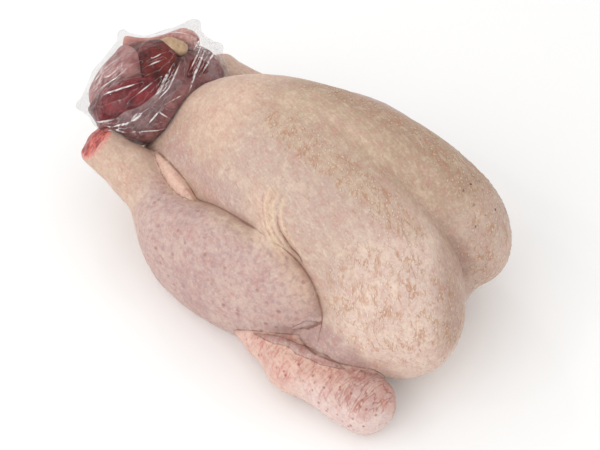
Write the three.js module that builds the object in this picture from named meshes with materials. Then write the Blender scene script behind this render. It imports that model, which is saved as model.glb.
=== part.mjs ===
// Whole raw turkey lying on its back, with the clear bag of giblets that sits between its hocks.
// Millimetres. +X points to the neck end, -Y to the side with the spread wing, +Z up.
// Every form is a rounded volume, given by the distance of a point to its surface. The forms are
// merged, softly where the skin is stretched over them and tightly where it folds into a crease.
import * as THREE from "three";

// Spacing of the facets, how close a facet's corner may come to the side of its grid cell as a share
// of the spacing, and how close to the resting plane a corner counts as lying on it
const birdFacet = 8.4;
const bagFacet = 8.4;
const cellMargin = 0.14;
const flatWithin = 0.5;

// Middle of the bounding box, in the frame that the forms below are written in
const boxMiddle = new THREE.Vector2(-34.8, -3.7);

// Trunk: centre, half sizes, and yaw, pitch and roll in degrees
const back = { at: [-16, 0, 46], half: [134, 83, 57] };
const belly = { at: [-52, 0, 74], half: [89, 53, 75], turn: [0, -7, 0] };
const pelvis = { at: [-114, 0, 43], half: [48, 66, 36] };
const tail = [
  { at: [-150, 0, 34], radius: 26 },
  { at: [-186, 0, 44], radius: 12 },
];

// Breast: a lobe with a blunt front on each side of the keel, and the neck skin tucked between
const keel = { at: [0, 0, 79], half: [88, 40, 69], turn: [0, 2, 0] };
const nearLobe = { at: [36, -29, 78], half: [95, 50, 69], turn: [6, 14, 4] };
const nearFront = { at: [107, -54, 57], half: [46, 36, 45], turn: [0, 0, -6] };
const farLobe = { at: [45, 25, 85], half: [102, 49, 63], turn: [4, 11, 2] };
const farFront = { at: [87, 48, 52], half: [28, 31, 36], turn: [0, 0, 5] };
const neckSkin = { at: [92, 0, 44], half: [40, 40, 34] };

// Near leg, from the hip to the cut hock; the far leg is its mirror image
const thigh = [
  { at: [-32, -44, 62], radius: 24 },
  { at: [40, -74, 48], radius: 20 },
];
const calf = { at: [-20, -84, 46], half: [90, 34, 54], turn: [2, -8, 0] };
const shank = [
  { at: [-179, -65, 79], radius: 17.5 },
  { at: [-134, -64, 66], radius: 20 },
  { at: [-80, -82, 58], radius: 22 },
];
const hockCut = { facing: [-0.6, -0.36, 0.71] };

// Wings: the near one is spread forward, the far one is tucked back along the flank
const nearWing = [
  { at: [120, -107, 22], radius: 22 },
  { at: [62, -113, 26], radius: 18.5 },
  { at: [13, -103, 22], radius: 12 },
];
const nearArm = [
  { at: [98, -63, 48], radius: 31 },
  { at: [74, -91, 28], radius: 25 },
];
const farWing = [
  { at: [62, 92, 24], radius: 21 },
  { at: [6, 106, 25], radius: 18 },
  { at: [-42, 98, 19], radius: 12 },
];
const farArm = [
  { at: [60, 66, 46], radius: 28 },
  { at: [40, 86, 32], radius: 24 },
];

// Bag of giblets, slumped on the tail end, creased in broad waves and drawn out to its corners
const bag = { at: [-170, 2, 93], half: [52, 61, 41], turn: [-4, -7, 1] };
const bagCorners = [
  { from: [-190, -25, 92], to: [-213, -44, 83] },
  { from: [-190, 5, 108], to: [-212, 9, 124] },
  { from: [-168, 28, 108], to: [-170, 48, 129] },
  { from: [-155, 32, 104], to: [-146, 52, 116] },
];
const bagCorner = { root: 26, tip: 4 };
const bagGap = 3;
const bagWave = { depth: 2.5, length: 52 };

// Widths of the blends between the forms
const softBlend = { trunk: 44, pelvis: 34, tail: 20, hip: 34, keel: 36, nearFront: 50, farFront: 40 };
const creaseBlend = { lobes: 8, neck: 10, limb: 9, knee: 18, arm: 12, wing: 9, hockRim: 4 };
const bagBlend = { atBird: 8, corner: 14 };
const flankBlend = { tight: 8, soft: 25, tightFrom: 34, softTo: -22 };
const ridgeBlend = { width: 38, from: 80, to: 125 };
const legBlend = { tight: 8, soft: 24 };
const legBridge = { behind: [-20, 10], ahead: [16, 44], height: [66, 104], outside: [30, 60] };
const underBlend = { width: 40, full: 6, none: 34 };

const { lerp, smoothstep, degToRad } = THREE.MathUtils;
const axes = ["x", "y", "z"];
const tiny = 1e-9;

function merged(a, b, width) {
  const overlap = Math.max(width - Math.abs(a - b), 0) / width;
  return Math.min(a, b) - (overlap * overlap * width) / 4;
}

function cutBack(a, b, width) {
  return -merged(-a, -b, width);
}

// Distance to an ellipsoid that is turned about its centre
function rounded({ at, half, turn = [0, 0, 0] }) {
  const [yaw, pitch, roll] = turn.map(degToRad);
  const turned = new THREE.Matrix4().makeRotationFromEuler(new THREE.Euler(roll, pitch, yaw, "ZYX"));
  const unturn = turned.transpose();
  const middle = new THREE.Vector3(...at);
  const size = new THREE.Vector3(...half);
  const local = new THREE.Vector3();
  return (point) => {
    local.copy(point).sub(middle).applyMatrix4(unturn).divide(size);
    const reach = local.length();
    const slope = local.divide(size).length();
    return (reach * (reach - 1)) / (slope + tiny);
  };
}

// Distance to a chain of tapered stretches with round ends
function limb(stations) {
  const stretches = stations.slice(1).map((end, index) => {
    const start = stations[index];
    const line = new THREE.Line3(new THREE.Vector3(...start.at), new THREE.Vector3(...end.at));
    return { line, from: start.radius, to: end.radius };
  });
  const nearest = new THREE.Vector3();
  return (point) => stretches
    .map(({ line, from, to }) => {
      const along = line.closestPointToPointParameter(point, true);
      return line.at(along, nearest).distanceTo(point) - lerp(from, to, along);
    })
    .reduce((one, other) => merged(one, other, creaseBlend.limb));
}

function fieldsOf(shapes, makeField) {
  return Object.fromEntries(Object.entries(shapes).map(([name, shape]) => [name, makeField(shape)]));
}

// The hock is cut through its joint, and the cut faces up and outwards
function hockPlane() {
  const facing = new THREE.Vector3(...hockCut.facing).normalize();
  return new THREE.Plane().setFromNormalAndCoplanarPoint(facing, new THREE.Vector3(...shank[0].at));
}

function trunkField() {
  const form = fieldsOf({ back, belly, pelvis }, rounded);
  const tailAt = limb(tail);
  return (point) => {
    const middle = merged(form.back(point), form.belly(point), softBlend.trunk);
    const rear = merged(middle, form.pelvis(point), softBlend.pelvis);
    return merged(rear, tailAt(point), softBlend.tail);
  };
}

function breastField() {
  const form = fieldsOf({ keel, nearLobe, nearFront, farLobe, farFront, neckSkin }, rounded);
  return (point) => {
    const near = merged(form.nearLobe(point), form.nearFront(point), softBlend.nearFront);
    const far = merged(form.farLobe(point), form.farFront(point), softBlend.farFront);
    const lobes = merged(near, far, creaseBlend.lobes);
    const ridged = merged(lobes, form.keel(point), softBlend.keel);
    return merged(ridged, form.neckSkin(point), creaseBlend.neck);
  };
}

function legField() {
  const calfAt = rounded(calf);
  const shankAt = limb(shank);
  const plane = hockPlane();
  return (point) => {
    const cut = cutBack(shankAt(point), plane.distanceToPoint(point), creaseBlend.hockRim);
    return merged(calfAt(point), cut, creaseBlend.knee);
  };
}

// Width of the blend between the flank and the breast: tight low at the front, soft over the ridge
function flankWidth(point) {
  const slack = 1 - smoothstep(point.x, flankBlend.softTo, flankBlend.tightFrom);
  const high = smoothstep(point.z, ridgeBlend.from, ridgeBlend.to);
  return lerp(lerp(flankBlend.tight, flankBlend.soft, slack), ridgeBlend.width, high);
}

// Width of the blend between the leg and the body: a crease, bridged on the near side by a band of
// stretched skin from the flank to the knee, and no gap underneath
function legWidth(point) {
  const along = smoothstep(point.x, ...legBridge.behind) * (1 - smoothstep(point.x, ...legBridge.ahead));
  const above = smoothstep(point.z, ...legBridge.height);
  const outside = smoothstep(-point.y, ...legBridge.outside);
  const beside = lerp(legBlend.tight, legBlend.soft, along * above * outside);
  return lerp(underBlend.width, beside, smoothstep(point.z, underBlend.full, underBlend.none));
}

function birdField() {
  const trunkAt = trunkField();
  const breastAt = breastField();
  const legAt = legField();
  const hipAt = limb(thigh);
  const wings = [[nearArm, nearWing], [farArm, farWing]].map((pair) => pair.map(limb));
  const nearSide = new THREE.Vector3();
  return (point) => {
    nearSide.set(point.x, -Math.abs(point.y), point.z);
    const flank = merged(trunkAt(point), hipAt(nearSide), softBlend.hip);
    const body = merged(flank, breastAt(point), flankWidth(point));
    const legged = merged(body, legAt(nearSide), legWidth(point));
    const winged = wings.reduce((distance, [armAt, wingAt]) => {
      const armed = merged(distance, armAt(point), creaseBlend.arm);
      return merged(armed, wingAt(point), creaseBlend.wing);
    }, legged);
    return Math.max(winged, -point.z);
  };
}

// The bag is pressed against the bird, and keeps a small gap to its skin
function bagField(birdAt) {
  const sackAt = rounded(bag);
  const corners = bagCorners.map(({ from, to }) => limb([
    { at: from, radius: bagCorner.root },
    { at: to, radius: bagCorner.tip },
  ]));
  const bagAt = (point) => corners.reduce(
    (distance, cornerAt) => merged(distance, cornerAt(point), bagBlend.corner),
    sackAt(point),
  );
  const turns = (2 * Math.PI) / bagWave.length;
  return (point) => {
    const wave = axes.reduce((sum, axis) => sum + Math.sin(point[axis] * turns), 0);
    const creased = bagAt(point) + (bagWave.depth * wave) / axes.length;
    return cutBack(creased, bagGap - birdAt(point), bagBlend.atBird);
  };
}

// Moves a corner along the slope of the field on to its surface, inside its own cell
function settle(corner, fieldAt, cell) {
  const nudge = 0.05;
  const passes = 4;
  const slope = new THREE.Vector3();
  const probe = new THREE.Vector3();
  for (let pass = 0; pass < passes; pass += 1) {
    const value = fieldAt(corner);
    axes.forEach((axis) => {
      probe.copy(corner);
      probe[axis] += nudge;
      slope[axis] = (fieldAt(probe) - value) / nudge;
    });
    corner.addScaledVector(slope, -value / (slope.lengthSq() + tiny));
    cell.clampPoint(corner, corner);
  }
}

// Where the surface would touch itself across a side of a cell, the grid node there that is nearest
// to it changes sides, until no such place is left
function partTouching(values, strides, visitGrid) {
  const inside = (node) => values[node] < 0;
  let changes;
  do {
    changes = 0;
    visitGrid((at, node) => {
      [[0, 1], [1, 2], [2, 0]].forEach(([one, other]) => {
        const [u, v] = [strides[one], strides[other]];
        const square = [node, node + u, node + v, node + u + v];
        const [a, b, c, d] = square.map(inside);
        if (a === d && b === c && a !== b) {
          const nearest = square.reduce((x, y) => (Math.abs(values[y]) < Math.abs(values[x]) ? y : x));
          values[nearest] = -values[nearest];
          changes += 1;
        }
      });
    });
  } while (changes > 0);
}

// Facets the zero surface of a field: one corner in each grid cell that it crosses, joined in
// fours around each grid edge that it crosses. One layer of cells has z = 0 at its middle, so the
// flat underside has all its corners in that layer.
function faceted(fieldAt, box, spacing) {
  const low = box.min.clone().divideScalar(spacing).floor().addScalar(-0.5).multiplyScalar(spacing);
  const counts = axes.map((axis) => Math.ceil((box.max[axis] - low[axis]) / spacing) + 2);
  const strides = [1, counts[0], counts[0] * counts[1]];
  const place = (i, j, k) => new THREE.Vector3(i, j, k).multiplyScalar(spacing).add(low);
  const visitGrid = (visit) => {
    for (let k = 0; k < counts[2] - 1; k += 1) {
      for (let j = 0; j < counts[1] - 1; j += 1) {
        for (let i = 0; i < counts[0] - 1; i += 1) {
          visit([i, j, k], i + j * strides[1] + k * strides[2]);
        }
      }
    }
  };
  const far = 1e3;
  const values = new Float64Array(counts[0] * counts[1] * counts[2]).fill(far);
  visitGrid((at, node) => {
    values[node] = fieldAt(place(...at));
  });
  partTouching(values, strides, visitGrid);
  const crosses = (node, axis) => values[node] < 0 !== values[node + strides[axis]] < 0;

  const corners = [];
  const cornerOf = new Map();
  visitGrid((at, node) => {
    const sum = new THREE.Vector3();
    let crossings = 0;
    for (let bits = 0; bits < 8; bits += 1) {
      const step = [bits & 1, (bits >> 1) & 1, (bits >> 2) & 1];
      const start = node + step[0] * strides[0] + step[1] * strides[1] + step[2] * strides[2];
      [0, 1, 2].filter((axis) => step[axis] === 0 && crosses(start, axis)).forEach((axis) => {
        const along = values[start] / (values[start] - values[start + strides[axis]]);
        const crossing = at.map((index, other) => index + step[other] + (other === axis ? along : 0));
        sum.add(place(...crossing));
        crossings += 1;
      });
    }
    if (crossings > 0) {
      const cell = new THREE.Box3(place(...at), place(...at).addScalar(spacing));
      cell.expandByScalar(-cellMargin * spacing);
      const corner = sum.divideScalar(crossings);
      settle(corner, fieldAt, cell);
      if (Math.abs(corner.z) < flatWithin) {
        corner.z = 0;
      }
      cornerOf.set(node, corners.length);
      corners.push(corner);
    }
  });

  const triangles = [];
  visitGrid((at, node) => {
    [0, 1, 2].filter((axis) => crosses(node, axis)).forEach((axis) => {
      const [u, v] = [strides[(axis + 1) % 3], strides[(axis + 2) % 3]];
      const ring = [node - u - v, node - v, node, node - u].map((cell) => cornerOf.get(cell));
      const [a, b, c, d] = values[node] < 0 ? ring : ring.reverse();
      const firstIsShort = corners[a].distanceTo(corners[c]) <= corners[b].distanceTo(corners[d]);
      triangles.push(...(firstIsShort ? [a, b, c, a, c, d] : [b, c, d, b, d, a]));
    });
  });
  const geometry = new THREE.BufferGeometry().setFromPoints(corners);
  geometry.setIndex(triangles);
  geometry.computeVertexNormals();
  return geometry;
}

function namedMesh(name, geometry, color, roughness) {
  const mesh = new THREE.Mesh(geometry, new THREE.MeshStandardMaterial({ color, roughness, metalness: 0 }));
  mesh.name = name;
  return mesh;
}

const room = new THREE.Box3(new THREE.Vector3(-250, -180, -20), new THREE.Vector3(190, 170, 180));
const birdAt = birdField();
const bird = namedMesh("turkey", faceted(birdAt, room, birdFacet), 0xdcbfae, 0.45);
const sack = namedMesh("giblet_bag", faceted(bagField(birdAt), room, bagFacet), 0x8f6a66, 0.15);

const turkey = new THREE.Group();
turkey.add(bird, sack);
turkey.position.set(-boxMiddle.x, -boxMiddle.y, 0);

export default turkey;
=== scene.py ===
import math
from types import SimpleNamespace

import bpy
import numpy as np
from mathutils import Euler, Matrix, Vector


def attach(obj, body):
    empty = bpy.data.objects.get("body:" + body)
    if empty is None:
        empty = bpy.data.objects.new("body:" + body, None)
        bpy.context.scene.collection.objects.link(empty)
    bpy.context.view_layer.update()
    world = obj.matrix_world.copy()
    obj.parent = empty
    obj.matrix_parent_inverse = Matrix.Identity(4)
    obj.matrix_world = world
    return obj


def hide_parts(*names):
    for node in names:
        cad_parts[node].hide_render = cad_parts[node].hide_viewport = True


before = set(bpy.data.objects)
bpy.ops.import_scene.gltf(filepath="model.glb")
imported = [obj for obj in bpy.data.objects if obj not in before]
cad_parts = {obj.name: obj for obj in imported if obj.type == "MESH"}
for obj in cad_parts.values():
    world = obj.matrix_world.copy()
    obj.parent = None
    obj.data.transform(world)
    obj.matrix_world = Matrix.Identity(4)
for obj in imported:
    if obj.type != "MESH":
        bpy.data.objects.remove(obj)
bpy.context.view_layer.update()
scene = bpy.context.scene

mm = 0.001
boxMiddle = np.array((-34.8, -3.7, 0), np.float32)  # middle of the box, in the frame the forms are drawn in

# Every form is a rounded volume in millimetres, given by the distance of points to its surface.
# A round form has its centre, half sizes and yaw, pitch, roll; a limb has stations of x, y, z, radius.
bird = {
    "back": ((-16, 0, 46), (134, 83, 57), (0, 0, 0)),
    "belly": ((-52, 0, 74), (89, 53, 75), (0, -7, 0)),
    "pelvis": ((-114, 0, 43), (48, 66, 36), (0, 0, 0)),
    "tail": [(-150, 0, 34, 26), (-186, 0, 44, 12)],
    "keel": ((0, 0, 79), (88, 40, 69), (0, 2, 0)),
    "nearLobe": ((36, -29, 78), (95, 50, 69), (6, 14, 4)),
    "nearFront": ((107, -54, 57), (46, 36, 45), (0, 0, -6)),
    "farLobe": ((45, 25, 85), (102, 49, 63), (4, 11, 2)),
    "farFront": ((87, 48, 52), (28, 31, 36), (0, 0, 5)),
    "neckSkin": ((92, 0, 44), (40, 40, 34), (0, 0, 0)),
    "thigh": [(-32, -44, 62, 24), (40, -74, 48, 20)],
    "calf": ((-20, -84, 46), (90, 34, 54), (2, -8, 0)),
    "shank": [(-179, -65, 79, 17.5), (-134, -64, 66, 20), (-80, -82, 58, 22)],
    "hockFacing": (-0.6, -0.36, 0.71),
    "groinFold": ((-97, -62, 81), (42, 6, 8), (-23, -4.5, 0)),
    "nearWing": [(120, -107, 22, 22), (62, -113, 26, 18.5), (13, -103, 22, 12)],
    "nearArm": [(98, -63, 48, 31), (74, -91, 28, 25)],
    "wingHem": [(24, -113, 33, 1), (46, -113, 42, 3), (66, -113, 46, 3.6), (84, -110, 46, 3),
                (100, -106, 43, 1)],
    "kneeWeb": [(52, -104, 50, 1), (60, -98, 56, 2), (68, -94, 59, 0.6)],
    "farWing": [(62, 92, 24, 21), (6, 106, 25, 18), (-42, 98, 19, 12)],
    "farArm": [(60, 66, 46, 28), (40, 86, 32, 24)],
    "box": ((-205, -142, -3), (164, 134, 168)), "grid": 1.9,
    # Widths over which the forms run into each other
    "joins": {
        "nearFront": 50, "farFront": 40, "cleft": 4, "keel": 36, "neckSkin": 8, "belly": 44, "pelvis": 34,
        "tail": 20, "thigh": 34, "flankFront": 3, "flankBack": 25, "flankTop": 38, "hock": 4, "calf": 18,
        "groinFold": 2, "leg": 2.5, "legBridge": 24, "legFloor": 40, "arm": 9, "wing": 4, "hem": 1.5,
    },
}

# Lines on the skin, as points of the near side that the far side mirrors
skinLines = {
    "flankFold": [(12, -63, 135), (12, -71, 124), (15, -75, 117), (21, -77, 110), (31, -78, 100),
                  (45, -80, 91)],
    "flankBand": [(-4, -70, 121), (7, -75, 109), (20, -80, 98), (38, -88, 92), (52, -91, 81)],
    "bellyVeil": [(-113, -45, 95), (-78, -57, 98), (-42, -70, 106), (-26, -74, 108)],
    "featherLine": [(-24, -26, 153), (13, -34, 152), (44, -33, 148), (84, -34, 134), (103, -30, 124)],
}


def ramp(value, start, end):
    t = np.clip((value - start) / (end - start), 0, 1)
    return t * t * (3 - 2 * t)


def between(a, b, share):
    return a + (b - a) * share


def bell(value, width):
    return np.exp(-(value / width) ** 2)


def merged(a, b, width):
    overlap = np.maximum(width - np.abs(a - b), 0) / width
    return np.minimum(a, b) - overlap * overlap * width / 4


def cutBack(a, b, width):
    return -merged(-a, -b, width)


def rounded(p, form):
    centre, half, (yaw, pitch, roll) = form
    turn = Euler([math.radians(angle) for angle in (roll, pitch, yaw)]).to_matrix()
    local = (p - np.array(centre, np.float32)) @ np.array(turn, np.float32)
    half = np.array(half, np.float32)
    reach = np.linalg.norm(local / half, axis=1)
    slope = np.linalg.norm(local / half ** 2, axis=1) + 1e-9
    return reach * (reach - 1) / slope


# Nearest place on each stretch of a chain of stations: its share, the length so far, the offset to it
def stretches(p, stations):
    points = np.array(stations, np.float32)
    start = 0
    for a, b in zip(points, points[1:]):
        line = b[:3] - a[:3]
        length = float(np.linalg.norm(line))
        along = np.clip((p - a[:3]) @ line / length ** 2, 0, 1)
        yield a, b, along, start + along * length, p - a[:3] - along[:, None] * line
        start += length


def limb(p, stations, joint=9):
    result = None
    for a, b, along, _, offset in stretches(p, stations):
        part = np.linalg.norm(offset, axis=1) - between(a[3], b[3], along)
        result = part if result is None else merged(result, part, joint)
    return result


def unit(vectors):
    return vectors / (np.linalg.norm(vectors, axis=1, keepdims=True) + 1e-9)


# How far points are from a line, how far along it they lie, and how far to its side over the skin
def alongLine(p, stations, normal):
    far = np.full(len(p), 1e3, np.float32)
    travel = np.zeros(len(p), np.float32)
    side = np.zeros(len(p), np.float32)
    for a, b, _, travelled, offset in stretches(p, stations):
        distance = np.linalg.norm(offset, axis=1)
        nearer = distance < far
        sideways = unit(np.cross(normal, b[:3] - a[:3]))
        travel = np.where(nearer, travelled, travel)
        side = np.where(nearer, (offset * sideways).sum(1), side)
        far = np.where(nearer, distance, far)
    return far, travel, side


def nearSide(p):
    return np.stack([p[:, 0], -np.abs(p[:, 1]), p[:, 2]], 1)


def hockDistance(q):
    facing = np.array(bird["hockFacing"], np.float32)
    return (q - np.array(bird["shank"][0][:3], np.float32)) @ (facing / np.linalg.norm(facing))


# The distances to the bird's main volumes, before they are joined
def birdParts(p):
    q = nearSide(p)
    join = bird["joins"]
    part = SimpleNamespace()
    part.near = merged(rounded(p, bird["nearLobe"]), rounded(p, bird["nearFront"]), join["nearFront"])
    part.far = merged(rounded(p, bird["farLobe"]), rounded(p, bird["farFront"]), join["farFront"])
    lobes = merged(part.near, part.far, join["cleft"])
    ridged = merged(lobes, rounded(p, bird["keel"]), join["keel"])
    part.breast = merged(ridged, rounded(p, bird["neckSkin"]), join["neckSkin"])
    middle = merged(rounded(p, bird["back"]), rounded(p, bird["belly"]), join["belly"])
    trunk = merged(middle, rounded(p, bird["pelvis"]), join["pelvis"])
    trunk = merged(trunk, limb(p, bird["tail"]), join["tail"])
    part.flank = merged(trunk, limb(q, bird["thigh"]), join["thigh"])
    # Tight at the front, soft over the ridge
    flankWidth = between(join["flankFront"], join["flankBack"], 1 - ramp(p[:, 0], -22, 34))
    flankWidth = between(flankWidth, join["flankTop"], ramp(p[:, 2], 80, 125))
    part.body = merged(part.flank, part.breast, flankWidth)
    part.shank = limb(q, bird["shank"])
    cut = cutBack(part.shank, hockDistance(q), join["hock"])
    part.leg = merged(rounded(q, bird["calf"]), cut, join["calf"])
    part.groinFold = rounded(q, bird["groinFold"])
    for name in ("nearArm", "nearWing", "farArm", "farWing"):
        setattr(part, name, limb(p, bird[name]))
    part.hem = np.minimum(limb(p, bird["wingHem"], 2), limb(p, bird["kneeWeb"], 2))
    return part


# Where a band of stretched skin bridges the crease between the flank and the knee
def flankBridge(p):
    x, y, z = p.T
    return ramp(x, -6, 14) * (1 - ramp(x, 16, 40)) * ramp(z, 66, 104) * ramp(-y, 30, 60)


def birdField(p):
    join = bird["joins"]
    part = birdParts(p)
    legWidth = between(join["leg"], join["legBridge"], flankBridge(p))
    legWidth = between(join["legFloor"], legWidth, ramp(p[:, 2], 6, 34))
    result = merged(part.body, part.groinFold, join["groinFold"])
    result = merged(result, part.leg, legWidth)
    for arm, wing in ((part.nearArm, part.nearWing), (part.farArm, part.farWing)):
        result = merged(merged(result, arm, join["arm"]), wing, join["wing"])
    return np.maximum(merged(result, part.hem, join["hem"]), -p[:, 2])


# Smooth noise from -1 to 1 on a seeded lattice, with features of the given size
def softNoise(p, size, seed):
    count = 24
    lattice = np.random.default_rng(seed).uniform(-1, 1, (count, count, count)).astype(np.float32)
    scaled = p / np.array(size, np.float32)
    base = np.floor(scaled).astype(np.int64)
    t = scaled - base
    t = t * t * (3 - 2 * t)
    total = 0
    for bits in range(8):
        step = np.array([bits & 1, bits >> 1 & 1, bits >> 2 & 1])
        weight = np.where(step, t, 1 - t).prod(1)
        i, j, k = ((base + step) % count).T
        total = total + weight * lattice[i, j, k]
    return total


def slopes(field, p):
    nudge = 0.2
    steps = np.eye(3, dtype=np.float32) * nudge
    return np.stack([field(p + step) - field(p - step) for step in steps], 1) / (2 * nudge)


# Where a surface would touch itself across a grid square, the outer node there nearest to it is filled
def partTouching(values):
    changed = True
    while changed:
        changed = False
        for one, other in ((0, 1), (1, 2), (2, 0)):
            def shifted(i, j):
                cut = [slice(0, -1)] * 3
                cut[one] = slice(i, values.shape[one] - 1 + i)
                cut[other] = slice(j, values.shape[other] - 1 + j)
                return tuple(cut)
            places = [shifted(0, 0), shifted(1, 0), shifted(0, 1), shifted(1, 1)]
            a, b, c, d = [values[place] < 0 for place in places]
            for spot in np.argwhere((a == d) & (b == c) & (a != b)):
                nodes = []
                for i, j in ((0, 0), (1, 0), (0, 1), (1, 1)):
                    node = spot.copy()
                    node[one] += i
                    node[other] += j
                    nodes.append(tuple(node))
                outer = [node for node in nodes if values[node] >= 0]
                if len(outer) == 2:
                    values[min(outer, key=lambda node: values[node])] = -0.01
                    changed = True


# Meshes the zero surface of a field: a vertex in each grid cell that it crosses, a face on each edge
def surfaceOf(field, low, high, spacing):
    low = np.floor(np.array(low, np.float32) / spacing - 0.5) * spacing + spacing / 2
    counts = np.ceil((np.array(high) - low) / spacing).astype(int) + 1
    axes = [low[i] + spacing * np.arange(counts[i], dtype=np.float32) for i in range(3)]
    values = np.empty(counts, np.float32)
    across = np.stack(np.meshgrid(axes[1], axes[2], indexing="ij"), -1).reshape(-1, 2)
    for i, x in enumerate(axes[0]):
        slab = np.concatenate([np.full((len(across), 1), x, np.float32), across], 1)
        values[i] = field(slab).reshape(counts[1:])
    partTouching(values)
    inside = values < 0
    total = np.zeros((values.size, 3))
    crossings = np.zeros(values.size)
    faces = []
    strides = np.array([counts[1] * counts[2], counts[2], 1])
    for axis in range(3):
        start = [slice(None)] * 3
        end = [slice(None)] * 3
        start[axis], end[axis] = slice(0, -1), slice(1, None)
        a, b = values[tuple(start)], values[tuple(end)]
        spots = np.argwhere(inside[tuple(start)] != inside[tuple(end)])
        first, second = a[tuple(spots.T)], b[tuple(spots.T)]
        crossing = spots.astype(float)
        crossing[:, axis] += first / (first - second)
        node = spots @ strides
        u, v = strides[(axis + 1) % 3], strides[(axis + 2) % 3]
        ring = np.stack([node - u - v, node - v, node, node - u], 1)
        for cell in ring.T:
            np.add.at(total, cell, crossing)
            np.add.at(crossings, cell, 1)
        faces.append(np.where((first < 0)[:, None], ring, ring[:, ::-1]))
    used = np.flatnonzero(crossings)
    number = np.zeros(values.size, int)
    number[used] = np.arange(len(used))
    points = (total[used] / crossings[used, None] * spacing + low).astype(np.float32)
    for _ in range(3):  # on to the surface, along the slope of the field
        slope = slopes(field, points)
        move = slope * (field(points) / ((slope ** 2).sum(1) + 1e-6))[:, None]
        points = points - np.clip(move, -spacing / 2, spacing / 2)
    return points, number[np.concatenate(faces)]


def meshPiece(name, points, faces, material, attributes=None):
    mesh = bpy.data.meshes.new(name)
    placed = ((points - boxMiddle) * mm).astype(np.float32)
    mesh.from_pydata(placed.tolist(), [], faces.tolist())
    mesh.polygons.foreach_set("use_smooth", np.ones(len(mesh.polygons), bool))
    for key, values in (attributes or {}).items():
        values = np.asarray(values, np.float32)
        kind, field = ("FLOAT", "value") if values.ndim == 1 else ("FLOAT_COLOR", "color")
        if values.ndim == 2:
            values = np.concatenate([values, np.ones((len(values), 1), np.float32)], 1)
        mesh.attributes.new(key, kind, "POINT").data.foreach_set(field, values.ravel())
    mesh.materials.append(material)
    mesh.update()
    piece = bpy.data.objects.new(name, mesh)
    scene.collection.objects.link(piece)
    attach(piece, "root")
    print(f"{name}: {len(points)} points, {len(faces)} faces")
    return piece


def linear(rgb):
    share = np.array(rgb, float) / 255
    return np.where(share <= 0.04045, share / 12.92, ((share + 0.055) / 1.055) ** 2.4)


def paint(rgb):
    return (*linear(rgb), 1.0)


# A shader socket with arithmetic, and one method that makes any other node
class Wire:
    def __init__(self, tree, socket=None):
        self.tree = tree
        self.socket = socket

    def make(self, kind, settings=None, sockets=None, out=0):
        node = self.tree.nodes.new(kind)
        for key, value in (settings or {}).items():
            setattr(node, key, value)
        for key, value in (sockets or {}).items():
            if isinstance(value, Wire):
                self.tree.links.new(value.socket, node.inputs[key])
            else:
                node.inputs[key].default_value = value
        return Wire(self.tree, node.outputs[out] if node.outputs else None)

    def maths(self, operation, first, second=0.0):
        return self.make("ShaderNodeMath", {"operation": operation}, {0: first, 1: second})

    def __add__(self, other):
        return self.maths("ADD", self, other)

    def __radd__(self, other):
        return self.maths("ADD", other, self)

    def __sub__(self, other):
        return self.maths("SUBTRACT", self, other)

    def __rsub__(self, other):
        return self.maths("SUBTRACT", other, self)

    def __mul__(self, other):
        return self.maths("MULTIPLY", self, other)

    def __rmul__(self, other):
        return self.maths("MULTIPLY", other, self)

    def __pow__(self, other):
        return self.maths("POWER", self, other)

    # This value turned to 0 below start and 1 above end, or the other way round
    def steps(self, start, end):
        rising = start < end
        return self.make("ShaderNodeMapRange", {"interpolation_type": "SMOOTHSTEP"}, {
            "Value": self, "From Min": min(start, end), "From Max": max(start, end),
            "To Min": 0.0 if rising else 1.0, "To Max": 1.0 if rising else 0.0,
        })

    # A line where this value is zero: 1 in its core, 0 at its width to either side
    def nearZero(self, width, core=0.0):
        return self.maths("ABSOLUTE", self).steps(width, core)

    # From one colour to another, with this value as the share
    def mix(self, one, other):
        return self.make("ShaderNodeMix", {"data_type": "RGBA"}, {0: self, 6: one, 7: other}, 2)

    # Low relief with this value as the height, as deep as the depth in mm
    def bump(self, strength, depth=1.0):
        sockets = {"Height": self, "Strength": strength, "Distance": depth * mm}
        return self.make("ShaderNodeBump", {}, sockets)

    def noise(self, place, size, detail=3.0, rough=0.55, warp=0.0):
        return self.make("ShaderNodeTexNoise", {}, {
            "Vector": place, "Scale": 1 / (size * mm),
            "Detail": detail, "Roughness": rough, "Distortion": warp,
        })

    # Distance to the middle of the nearest cell, in cell sizes
    def cells(self, place, size):
        return self.make("ShaderNodeTexVoronoi", {}, {"Vector": place, "Scale": 1 / (size * mm)})

    # The place on the object, drawn out along axes that are turned first
    def place(self, stretch=(1, 1, 1), turn=(0, 0, 0)):
        where = self.make("ShaderNodeTexCoord", out="Object")
        turn = [math.radians(angle) for angle in turn]
        sockets = {"Vector": where, "Scale": stretch, "Rotation": turn}
        return self.make("ShaderNodeMapping", {"vector_type": "TEXTURE"}, sockets)

    def finish(self, shader):
        self.make("ShaderNodeOutputMaterial", {}, {"Surface": shader})

    # Ends the material in a Principled surface with these sockets
    def surface(self, sockets):
        self.finish(self.make("ShaderNodeBsdfPrincipled", {}, sockets))

    def attribute(self, name, colour=False):
        return self.make("ShaderNodeAttribute", {"attribute_name": name}, out="Color" if colour else "Fac")


def newMaterial(name):
    material = bpy.data.materials.new(name)
    material.use_nodes = True
    material.node_tree.nodes.clear()
    return material, Wire(material.node_tree)


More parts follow.
